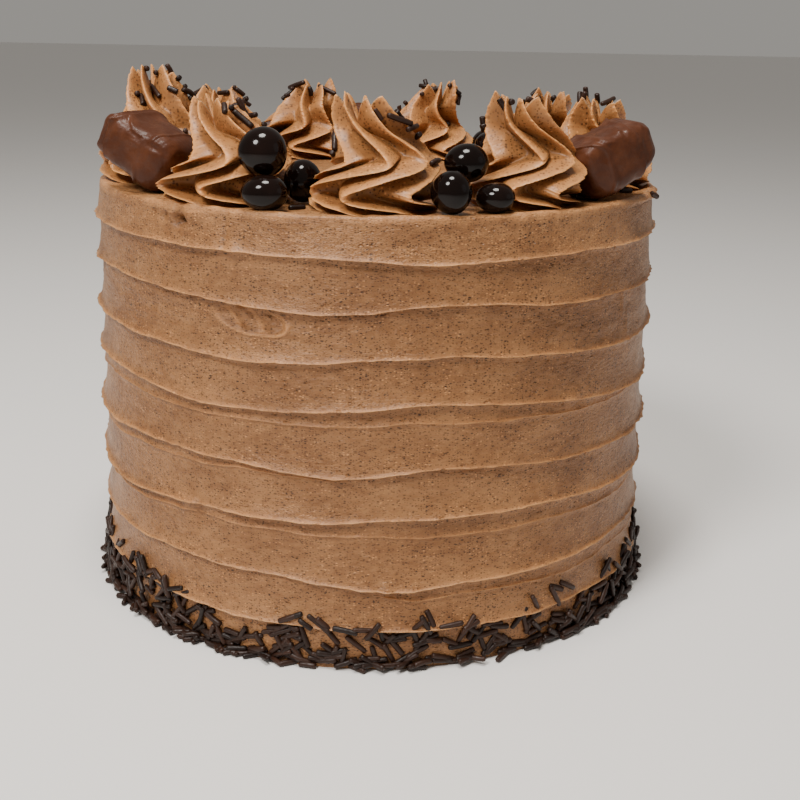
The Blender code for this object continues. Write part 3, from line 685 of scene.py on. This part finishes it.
def sprinkle_piece(name, nodes, places, along, out, lengths, widths, bends, mat):
    """Joined sprinkles: each a rod of a few sides and rings, with rounded ends.

    The rod's axis runs along one direction and bows towards another by its bend. A rod that
    would reach below the floor is lifted on to it.
    """
    count = len(places)
    side = np.cross(along, out)
    side /= np.linalg.norm(side, axis=1, keepdims=True)
    up = np.cross(side, along)
    reach = (ROD_STEPS[None, :] * 0.5 * lengths[:, None])[..., None]
    bow = (bends[:, None] * (1.0 - ROD_STEPS[None, :] ** 2))[..., None]
    middle = places[:, None, :] + reach * along[:, None, :] + bow * up[:, None, :]
    turn = np.linspace(0.0, 2.0 * math.pi, ROD_SIDES, endpoint=False)
    wide = 0.5 * widths[:, None, None] * ROD_GIRTH[None, :, None]
    rings = (middle[:, :, None, :]
             + (wide * np.cos(turn))[..., None] * side[:, None, None, :]
             + (wide * np.sin(turn))[..., None] * up[:, None, None, :])
    rows = len(ROD_STEPS)
    each = rows * ROD_SIDES + 2
    poles = np.stack([middle[:, 0], middle[:, -1]], axis=1)
    points = np.concatenate([rings.reshape(count, -1, 3), poles], axis=1)
    points[..., 2] += np.maximum(0.0, -points[..., 2].min(axis=1))[:, None]
    offset = np.arange(count)[:, None, None] * each
    quads = (ring_faces(rows, ROD_SIDES)[None, :, ::-1] + offset).reshape(-1, 4)
    caps = np.concatenate([fan_faces(0, ROD_SIDES, each - 2, True),
                           fan_faces((rows - 1) * ROD_SIDES, ROD_SIDES, each - 1, False)])
    triangles = (caps[None] + offset).reshape(-1, 3)
    obj = make_mesh(name, points.reshape(-1, 3), quads, triangles, mat)
    tone = obj.data.attributes.new("tone", "FLOAT", "POINT")
    tones = np.random.default_rng(count).uniform(0.0, 1.0, count)
    tone.data.foreach_set("value", np.repeat(tones, each).astype(np.float32))
    finish_piece(obj, "sprinkle", *nodes)


def side_radius(rings, columns, angle, height):
    """Radius of the finished side at arrays of angle and height, from its rings."""
    column = np.clip(np.searchsorted(columns, angle), 0, len(columns) - 1)
    found = []
    for col, z in zip(column, height):
        line = rings[SIDE_ROWS_LOW, col]
        found.append(np.interp(z, line[:, 2], np.hypot(line[:, 0], line[:, 1])))
    return np.array(found)


def scatter_round(draw, count, front_share):
    """Random angles round the cake, of which only a share is kept at the front.

    With them come how far each is towards the sides (0 to 1), and the directions outward and
    round the cake there.
    """
    angle = draw.uniform(-math.pi, math.pi, count)
    side = smooth((np.abs(np.degrees(angle)) - THIN_FRONT_DEGREES) / THIN_FADE_DEGREES)
    keep = draw.uniform(0.0, 1.0, count) < front_share + (1.0 - front_share) * side
    angle, side = angle[keep], side[keep]
    around = np.stack([np.cos(angle), np.sin(angle), 0.0 * angle], -1)
    return angle, side, around_axis(1.0, angle, 0.0), around


def wall_sprinkles(draw, rings, columns):
    """Middle, direction, normal, length and width of the sprinkles pressed on the wall.

    They lie within a band with a ragged top, at a slant that keeps both ends off the floor,
    in up to three layers at the sides.
    """
    angle, side, outward, around = scatter_round(draw, WALL_SPRINKLES, 0.72)
    count = len(angle)
    ragged = 3.0 * lattice(angle / (2.0 * math.pi), 0.0 * angle, 30, 1, 78)
    band = (14.5 + 4.0 * side + ragged) * MM
    height = 1.6 * MM + band * draw.uniform(0.0, 1.0, count) ** (1.25 + 0.3 * side)
    length = draw.uniform(5.5, 9.5, count) * MM
    width = draw.uniform(*THICKNESS_MM, count) * MM
    steepest = np.arcsin(np.clip(2.0 * (height - 1.1 * MM) / length, 0.0, 1.0))
    slant = draw.uniform(-1.0, 1.0, count) * np.minimum(steepest, 1.35)
    layer = draw.integers(0, 3, count) * side
    proud = (0.55 + 1.25 * layer) * MM * np.clip(1.25 - height / band, 0.25, 1.0)
    radius = side_radius(rings, columns, angle, height) + proud
    along = around * np.cos(slant)[:, None] + UPWARD * np.sin(slant)[:, None]
    along = along + outward * draw.uniform(-0.22, 0.22, count)[:, None]
    along /= np.linalg.norm(along, axis=1, keepdims=True)
    places = outward * radius[:, None] + UPWARD * height[:, None]
    return places, along, outward, length, width


def pile_sprinkles(draw):
    """The same of the sprinkles that lie flat at the foot, in up to two layers."""
    angle, side, outward, around = scatter_round(draw, PILE_SPRINKLES, 0.7)
    count = len(angle)
    length = draw.uniform(5.5, 9.0, count) * MM
    yaw = draw.uniform(-0.75, 0.75, count)
    reach = BASE_RADIUS + 0.4 * MM + draw.uniform(0.0, 2.2, count) * MM * (0.3 + 0.7 * side)
    height = 1.0 * MM + draw.integers(0, 2, count) * 1.5 * MM
    along = around * np.cos(yaw)[:, None] + outward * np.sin(yaw)[:, None]
    places = outward * reach[:, None] + UPWARD * height[:, None]
    width = draw.uniform(*THICKNESS_MM, count) * MM
    return places, along, np.tile(UPWARD, (count, 1)), length, width


def build_foot_sprinkles(rings, columns, mat):
    """Sprinkles round the foot, thicker at the sides than at the front, where frosting shows."""
    draw = np.random.default_rng(77)
    wall = wall_sprinkles(draw, rings, columns)
    pile = pile_sprinkles(draw)
    parts = [np.concatenate(pair) for pair in zip(wall, pile)]
    bends = draw.normal(0.0, 0.28, len(parts[0])) * MM
    sprinkle_piece("foot_sprinkles", ["cake"], *parts, bends, mat)


def ray_at(x, y):
    """Direction from the camera through a pixel of the photograph."""
    right, up, forward = camera_axes()
    half = PHOTO_PX / 2.0
    return (forward * FOCAL_PX + right * (x - half) - up * (y - half)).normalized()


def surface_tree(rings):
    """Search tree over a piece's rings, for where a ray meets it."""
    rows, columns, _ = rings.shape
    return BVHTree.FromPolygons(rings.reshape(-1, 3).tolist(), ring_faces(rows, columns).tolist())


def seen_sprinkle(tree, middle, ends):
    """Middle, direction, outward normal and length of a sprinkle seen between two pixels.

    Its middle is where the ray between them meets the piece, or else the piece's nearest
    point. It lies in the surface: the span s between the ends' rays is moved along the view
    d by (s.n / d.n), which leaves nothing of it along the normal n. One seen end on stands
    between the normal and the way to the camera.
    """
    origin = Vector(CAMERA_PLACE)
    first = ray_at(*ends[:2])
    last = ray_at(*ends[2:])
    view = (first + last).normalized()
    hit, normal, _, distance = tree.ray_cast(origin, view)
    if hit is None:
        distance = (middle - origin).dot(view)
        hit, normal, _, _ = tree.find_nearest(origin + view * distance)
    span = (last - first) * distance
    if span.length < END_ON:
        along = (normal - view).normalized()
        return hit, along, along.orthogonal(), STUB_LENGTH
    along = span - view * (span.dot(normal) / min(view.dot(normal), -0.35))
    along -= normal * along.dot(normal)
    length = min(max(along.length, SHORTEST_SPRINKLE), LONGEST_SPRINKLE)
    return hit + normal * 0.6 * MM, along.normalized(), normal, length


def build_crown_sprinkles(all_rings, mat):
    """Sprinkles on every swirl: those seen, and a few more on the side that faces away."""
    draw = np.random.default_rng(90)
    found = []
    for index, rings in enumerate(all_rings):
        tree = surface_tree(rings)
        middle = Vector(rings.reshape(-1, 3).mean(axis=0))
        found += [seen_sprinkle(tree, middle, ends) for ends in SEEN_SPRINKLES_PX[index + 1]]
        normal = ring_normals(rings)
        top = rings[..., 2].max()
        good = (normal[..., 2] > 0.2) & (rings[..., 2] > top - 15.0 * MM)
        good &= (rings[..., 2] < top - 2.0 * MM) & (rings[..., 1] > middle.y + 4.0 * MM)
        good[: SWIRL_ALONG // 2] = False
        choice = np.argwhere(good)
        for row, col in choice[draw.choice(len(choice), HIDDEN_SPRINKLES, replace=False)]:
            out = normal[row, col]
            lie = np.cross(out, draw.normal(size=3))
            found.append((rings[row, col] + out * 0.55 * MM, lie / np.linalg.norm(lie), out,
                          draw.uniform(4.5, 9.0) * MM))
    nodes = ["swirl_%d" % (i + 1) for i in range(len(all_rings))]
    lay_sprinkles("crown_sprinkles", nodes, found, draw, mat)


def build_top_sprinkles(rings, mat):
    """The few sprinkles that lie on the cake's top near its rim."""
    tree = surface_tree(rings)
    middle = Vector((0.0, -TOP_RADIUS, CAKE_HEIGHT))
    found = [seen_sprinkle(tree, middle, ends) for ends in TOP_SPRINKLES_PX]
    lay_sprinkles("top_sprinkles", ["cake"], found, np.random.default_rng(91), mat)


def lay_sprinkles(name, nodes, found, draw, mat):
    """Joined sprinkles of some nodes, from a list of middle, direction, normal and length."""
    parts = [np.array([item[k] for item in found]) for k in range(4)]
    widths = draw.uniform(1.75, 2.0, len(found)) * MM
    bends = draw.normal(0.0, 0.3, len(found)) * MM
    sprinkle_piece(name, nodes, *parts, widths, bends, mat)


def bean_spots():
    """Place, size and heading of each bean: six seen at the front, twelve by one rule."""
    found = [((x * MM, y * MM, CAKE_HEIGHT + z * MM), (a, b, c), turn)
             for x, y, z, a, b, c, turn in FRONT_BEANS]
    for centre, twist in HIDDEN_BEAN_GROUPS:
        for side, radius in GROUP_PLACES:
            angle = math.radians(centre) + side * BEAN_HALF_STEP / radius
            radius += side * math.radians(twist) * BEAN_HALF_STEP
            z = CAKE_HEIGHT + GAP + 0.5 * BEAN_SIZE_MM[2] * MM
            heading = centre + twist * 4.0 + side * 35.0
            found.append((around_axis(radius, angle, z), BEAN_SIZE_MM, heading))
    return found


def round_grid(rows, columns):
    """Angles up, from pole to pole without the poles themselves, and angles round."""
    up = np.linspace(-math.pi / 2.0, math.pi / 2.0, rows + 2)[1:-1, None]
    return up, np.linspace(0.0, 2.0 * math.pi, columns, endpoint=False)[None, :]


def build_bean(index, place, size_mm, heading, mat):
    """Coated bean: an ellipsoid a little fuller at one end, with low lumps in its coat."""
    v, u = round_grid(BEAN_ROWS, BEAN_COLUMNS)
    x = np.cos(v) * np.cos(u)
    y = np.cos(v) * np.sin(u)
    z = np.sin(v) + 0.0 * u
    fuller = 1.0 + 0.07 * x
    turn = u / (2.0 * math.pi) + 0.0 * v
    up = (v / math.pi + 0.5) * 0.999 + 0.0 * u
    lumps = 1.0 + 0.022 * np.cos(v) * lattice(turn, up, 7, 4, 600 + index)
    half = np.array(size_mm) * 0.5 * MM
    points = np.stack([x * half[0], y * fuller * half[1], z * fuller * half[2]], -1)
    points = points * lumps[..., None]
    matrix = Matrix.Translation(place) @ Matrix.Rotation(math.radians(heading), 4, "Z")
    start, end = moved(np.array([[0.0, 0.0, -half[2]], [0.0, 0.0, half[2]]]), matrix)
    number = "%02d" % (index + 1)
    obj = closed_rings("coated_bean_" + number, moved(points, matrix), start, end, mat)
    finish_piece(obj, "coated_bean", "bean_" + number)


def choc_coat(x, u, seed):
    """How much the coat of a bar piece stands out: folds, dents and lumps.

    A fold is a narrow swell along a slanted, bowed line round the piece, with a step on one
    side that fades, and it runs only part of the way round. A dent is a soft hollow.
    """
    draw = np.random.default_rng(seed)
    coat = np.zeros_like(x + u)
    for _ in range(CHOC_FOLDS):
        start, slant = draw.uniform(-0.85, 0.85), draw.uniform(-0.4, 0.4)
        phase, centre = draw.uniform(0.0, 2.0 * math.pi, 2)
        d = x - start - slant * np.sin(u + phase) - 0.1 * np.sin(2.0 * u + 2.0 * phase)
        part = smooth(0.9 * np.cos(u - centre) + 0.7)
        step = smooth(d / 0.06 + 0.5) * np.exp(-np.clip(d, 0.0, 9.0) / 0.22)
        coat = coat + part * (0.05 * np.exp(-(d / 0.045) ** 2) + 0.045 * step)
    for _ in range(CHOC_DENTS):
        start, centre = draw.uniform(-0.9, 0.9), draw.uniform(0.0, 2.0 * math.pi)
        size = draw.uniform(0.1, 0.26)
        away = ((x - start) / size) ** 2 + (2.0 - 2.0 * np.cos(u - centre)) / size ** 2
        coat = coat - draw.uniform(0.03, 0.07) * np.exp(-away)
    turn = u / (2.0 * math.pi) + 0.0 * x
    up = 0.4995 * (x + 1.0) + 0.0 * u
    coat = coat + 0.04 * lattice(turn, up, 6, 6, seed + 1)
    return coat + 0.014 * lattice(turn, up, 16, 18, seed + 2)


def build_choc(index, mat):
    """Piece of chocolate bar: a well rounded box, a little wavy and tapered, in its coat.

    Its faces are the powers of sines and cosines.
    """
    angle, radius, heading, rise, roll = CHOCS[index]
    v, u = round_grid(CHOC_ROWS, CHOC_COLUMNS)

    def rounded(value):
        """Sine or cosine pushed out towards the faces of a box."""
        return np.sign(value) * np.abs(value) ** CHOC_BOXINESS

    ring = np.abs(np.cos(v)) ** CHOC_BOXINESS
    x = rounded(np.sin(v)) + 0.0 * u
    y = ring * rounded(np.cos(u))
    z = ring * rounded(np.sin(u))
    wave = 1.0 + 0.05 * np.sin(2.3 * x + 1.5 * y)
    scale = (1.0 + choc_coat(x, u, 700 + 10 * index) * np.minimum(1.0, 1.6 * ring))[..., None]
    points = np.stack([x, y * (1.0 - 0.06 * x) * wave, z * (1.0 + 0.05 * x) * wave], -1) * scale
    half = [0.5 * MM * s for s in CHOC_SIZE_MM]
    matrix = (Matrix.Rotation(math.radians(heading), 4, "Z")
              @ Matrix.Rotation(math.radians(-rise), 4, "Y")
              @ Matrix.Rotation(math.radians(roll), 4, "X") @ Matrix.Diagonal((*half, 1.0)))
    rings = moved(points, matrix)
    place = around_axis(radius * MM, math.radians(angle), CAKE_HEIGHT - rings[..., 2].min())
    start, end = moved(np.array([[-1.0, 0.0, 0.0], [1.0, 0.0, 0.0]]), matrix) + place
    obj = closed_rings("bar_piece_%d" % (index + 1), rings + place, start, end, mat)
    finish_piece(obj, "chocolate_bar", "choc_%d" % (index + 1))


def set_inputs(node, **values):
    """Give a node's inputs plain values, with an underscore for a space in their names."""
    for name, value in values.items():
        node.inputs[name.replace("_", " ")].default_value = value


class Nodes:
    """Short way to add and link the nodes of one material or group."""

    def __init__(self, tree):
        self.tree = tree

    def link(self, source, target):
        """Join an output to an input."""
        self.tree.links.new(source, target)

    def math(self, operation, first, second=None):
        """Math node on sockets or numbers."""
        node = self.tree.nodes.new("ShaderNodeMath")
        node.operation = operation
        for slot, value in ((0, first), (1, second)):
            if value is None:
                continue
            if isinstance(value, (int, float)):
                node.inputs[slot].default_value = value
            else:
                self.link(value, node.inputs[slot])
        return node.outputs[0]

    def ramp(self, source, low, high):
        """Map a value from low..high to 0..1, clamped."""
        node = self.tree.nodes.new("ShaderNodeMapRange")
        self.link(source, node.inputs["Value"])
        set_inputs(node, From_Min=low, From_Max=high)
        return node.outputs[0]

    def mix(self, factor, first, second):
        """Mix two colours, each a socket or a plain colour."""
        node = self.tree.nodes.new("ShaderNodeMix")
        node.data_type = "RGBA"
        self.link(factor, node.inputs["Factor"])
        for name, value in (("A", first), ("B", second)):
            socket = [s for s in node.inputs if s.name == name and s.type == "RGBA"][0]
            if isinstance(value, tuple):
                socket.default_value = (*value, 1.0)
            else:
                self.link(value, socket)
        return [s for s in node.outputs if s.type == "RGBA"][0]

    def noise(self, place, scale, detail=2.0):
        """Noise value at a scale per metre."""
        node = self.tree.nodes.new("ShaderNodeTexNoise")
        set_inputs(node, Scale=scale, Detail=detail)
        self.link(place, node.inputs["Vector"])
        return node.outputs[0]

    def attribute(self, name):
        """Value that the mesh keeps for each point under a name."""
        node = self.tree.nodes.new("ShaderNodeAttribute")
        node.attribute_name = name
        return node.outputs["Fac"]

    def bump(self, height, distance_mm, strength, shader):
        """Bend a shader's normals by a height field."""
        node = self.tree.nodes.new("ShaderNodeBump")
        set_inputs(node, Distance=distance_mm * MM, Strength=strength)
        self.link(height, node.inputs["Height"])
        self.link(node.outputs["Normal"], shader.inputs["Normal"])


def coffee_group():
    """Shared look of the coffee frosting: dark specks, glints painted as pale flecks, cloudy tone and
    relief.

    Specks and glints are the cores of Voronoi cells, fainter where a coarser noise is low,
    and drawn out sideways by squeezing the height. Relief adds small lumps and bubble pits.
    """
    tree = bpy.data.node_groups.new("coffee_frosting", "ShaderNodeTree")
    face = tree.interface
    face.new_socket(name="Coordinates", in_out="INPUT", socket_type="NodeSocketVector")
    face.new_socket(name="Drag", in_out="INPUT", socket_type="NodeSocketFloat").default_value = 1.0
    for name in ("Specks", "Glints", "Cloud", "Relief"):
        face.new_socket(name=name, in_out="OUTPUT", socket_type="NodeSocketFloat")
    n = Nodes(tree)
    source = tree.nodes.new("NodeGroupInput")
    sink = tree.nodes.new("NodeGroupOutput")
    squeeze = tree.nodes.new("ShaderNodeCombineXYZ")
    set_inputs(squeeze, X=1.0, Y=1.0)
    n.link(source.outputs["Drag"], squeeze.inputs["Z"])
    scaled = tree.nodes.new("ShaderNodeVectorMath")
    scaled.operation = "MULTIPLY"
    n.link(source.outputs["Coordinates"], scaled.inputs[0])
    n.link(squeeze.outputs[0], scaled.inputs[1])
    at = scaled.outputs[0]

    def flecks(scale, part, size):
        """Cores in a random part of the cells, of a size in cells."""
        node = tree.nodes.new("ShaderNodeTexVoronoi")
        set_inputs(node, Scale=scale)
        n.link(at, node.inputs["Vector"])
        split = tree.nodes.new("ShaderNodeSeparateColor")
        n.link(node.outputs["Color"], split.inputs[0])
        chosen = n.ramp(split.outputs[0], 1.0 - part, 1.0 - part + 0.04)
        return n.math("MULTIPLY", chosen, n.ramp(node.outputs["Distance"], size, 0.45 * size))

    def sum_of(first, share, second, other_share):
        """Sum of two values, each times its share."""
        return n.math("ADD", n.math("MULTIPLY", first, share), n.math("MULTIPLY", second, other_share))

    specks = n.math("MAXIMUM", flecks(640.0, 0.5, 0.36), flecks(1150.0, 0.5, 0.42))
    specks = n.math("MAXIMUM", specks, flecks(330.0, 0.3, 0.24))
    patch = n.ramp(n.noise(at, 70.0), 0.3, 0.62)
    n.link(n.math("MULTIPLY", specks, n.math("ADD", n.math("MULTIPLY", patch, 0.4), 0.6)),
           sink.inputs["Specks"])
    # Glints: pale flecks that paint tiny highlights
    shown = n.ramp(n.noise(at, 110.0), 0.42, 0.62)
    n.link(n.math("MULTIPLY", flecks(850.0, 0.4, 0.44), shown), sink.inputs["Glints"])
    cloud = sum_of(n.noise(at, 34.0, 3.0), 0.55, n.noise(at, 240.0, 3.0), 0.45)
    n.link(cloud, sink.inputs["Cloud"])
    relief = sum_of(n.noise(at, 480.0, 3.0), 0.55, n.noise(at, 1500.0), 0.3)
    pits = n.math("MULTIPLY", flecks(300.0, 0.2, 0.26), 0.7)
    n.link(n.math("SUBTRACT", relief, pits), sink.inputs["Relief"])
    return tree


def principled(name):
    """New material, with its node helper, shader and object coordinates."""
    mat = bpy.data.materials.new(name)
    mat.use_nodes = True
    tree = mat.node_tree
    where = tree.nodes.new("ShaderNodeTexCoord")
    return mat, Nodes(tree), tree.nodes["Principled BSDF"], where.outputs["Object"]


def frosting_material(name, group, light, dark, speck, drag, bump_mm):
    """Coffee frosting: two tones by cloud, dark specks, painted highlights as pale glints and pale
    edges, a soft sheen.
    """
    mat, n, shader, where = principled(name)
    look = n.tree.nodes.new("ShaderNodeGroup")
    look.node_tree = group
    set_inputs(look, Drag=drag)
    n.link(where, look.inputs["Coordinates"])
    tone = n.mix(n.ramp(look.outputs["Cloud"], 0.38, 0.62), light, dark)
    # Tone of the painted highlights
    pale = tuple(min(1.0, 2.0 * part) for part in light)
    # Painted highlights: pale flecks where tiny glints would be
    tone = n.mix(n.math("MULTIPLY", look.outputs["Glints"], 0.65), tone, pale)
    colour = n.mix(n.math("MULTIPLY", look.outputs["Specks"], 0.95), tone, speck)
    # Painted highlight on the lips, crests and fin edges, from the edge attribute
    colour = n.mix(n.math("MULTIPLY", n.attribute("edge"), 0.68), colour, pale)
    n.link(colour, shader.inputs["Base Color"])
    rough = n.math("ADD", n.math("MULTIPLY", look.outputs["Cloud"], 0.3), 0.24)
    n.link(rough, shader.inputs["Roughness"])
    n.bump(look.outputs["Relief"], bump_mm, 0.9, shader)
    set_inputs(shader, Subsurface_Weight=0.2, Subsurface_Radius=(0.003, 0.002, 0.0014),
               Subsurface_Scale=1.0, Specular_IOR_Level=0.3)
    return mat


def chocolate_material(name, colour, paler, rough, scale, bump_mm):
    """Chocolate: a plain tone with faint paler clouds, uneven gloss and a low relief."""
    mat, n, shader, where = principled(name)
    cloud = n.ramp(n.noise(where, scale, 3.0), 0.42, 0.75)
    n.link(n.mix(cloud, colour, paler), shader.inputs["Base Color"])
    gloss = n.math("MULTIPLY", n.noise(where, 2.5 * scale), rough)
    n.link(n.math("ADD", gloss, 0.5 * rough), shader.inputs["Roughness"])
    n.bump(n.noise(where, 1.6 * scale, 4.0), bump_mm, 1.0, shader)
    set_inputs(shader, Specular_IOR_Level=0.2)
    return mat


def sprinkle_material():
    """Dark chocolate sprinkles: each a little lighter or darker, with a dull rough shine."""
    mat, n, shader, where = principled("dark_sprinkles")
    n.link(n.mix(n.attribute("tone"), *SPRINKLE_TONES), shader.inputs["Base Color"])
    grain = n.noise(where, 900.0)
    n.link(n.ramp(grain, -0.4, 1.6), shader.inputs["Roughness"])
    n.bump(grain, 0.12, 1.0, shader)
    set_inputs(shader, Specular_IOR_Level=0.3)
    return mat


def plain_material(name, colour, roughness):
    """Plain matt material for the floor."""
    mat, _, shader, _ = principled(name)
    set_inputs(shader, Base_Color=(*colour, 1.0), Roughness=roughness)
    return mat


def add_area(name, place, size, power, colour):
    """Round soft light at a place, aimed at the cake."""
    data = bpy.data.lights.new(name, "AREA")
    data.shape = "DISK"
    data.size = size
    data.energy = power
    data.color = colour
    obj = bpy.data.objects.new(name, data)
    obj.location = place
    obj.rotation_euler = (LIGHT_AIM - Vector(place)).to_track_quat("-Z", "Y").to_euler()
    bpy.context.scene.collection.objects.link(obj)


def build_stage():
    """Plain pale floor, soft studio lights and a pale surround."""
    size = FLOOR_HALF_SIDE
    points = [(-size, -size, 0.0), (size, -size, 0.0), (size, size, 0.0), (-size, size, 0.0)]
    floor = make_mesh("floor", points, [(0, 1, 2, 3)], np.zeros((0, 3), int),
                      plain_material("pale_floor", FLOOR_TONE, 0.6))
    for light in LIGHTS:
        add_area(*light)
    world = bpy.data.worlds.new("surround")
    world.use_nodes = True
    set_inputs(world.node_tree.nodes["Background"], Color=SURROUND, Strength=SURROUND_STRENGTH)
    bpy.context.scene.world = world


def camera_axes():
    """Right, up and forward directions of the photograph's camera."""
    cy, sy = math.cos(CAMERA_YAW), math.sin(CAMERA_YAW)
    cp, sp = math.cos(CAMERA_PITCH), math.sin(CAMERA_PITCH)
    forward = Vector((sy * cp, cy * cp, -sp))
    right = Vector((cy, -sy, 0.0))
    up = right.cross(forward)
    cr, sr = math.cos(CAMERA_ROLL), math.sin(CAMERA_ROLL)
    return right * cr + up * sr, up * cr - right * sr, forward


def build_camera():
    """Camera at the photograph's place and angle."""
    right, up, forward = camera_axes()
    data = bpy.data.cameras.new("photo_camera")
    data.sensor_width = 36.0
    data.lens = data.sensor_width * FOCAL_PX / PHOTO_PX
    data.clip_start = 0.01
    data.clip_end = 50.0
    obj = bpy.data.objects.new("photo_camera", data)
    turned = Matrix((right, up, -forward)).transposed().to_4x4()
    obj.matrix_world = Matrix.Translation(CAMERA_PLACE) @ turned
    bpy.context.scene.collection.objects.link(obj)
    bpy.context.scene.camera = obj


def main():
    """Build every piece of the cake, the stage and the camera."""
    build_camera()
    group = coffee_group()
    frosting = frosting_material("coffee_frosting", group, *SIDE_FROSTING)
    piped = frosting_material("piped_coffee_frosting", group, *PIPED_FROSTING)
    sprinkles = sprinkle_material()
    coated = chocolate_material("coated_bean", *BEAN_COAT)
    bar = chocolate_material("milk_chocolate", *MILK_CHOCOLATE)
    side, columns = build_frosting(frosting)
    build_foot_sprinkles(side, columns, sprinkles)
    build_top_sprinkles(side, sprinkles)
    swirls = [build_swirl(i, piped) for i in range(len(SWIRLS))]
    build_crown_sprinkles(swirls, sprinkles)
    for i, (place, size, heading) in enumerate(bean_spots()):
        build_bean(i, place, size, heading, coated)
    for i in range(len(CHOCS)):
        build_choc(i, bar)
    build_stage()


main()
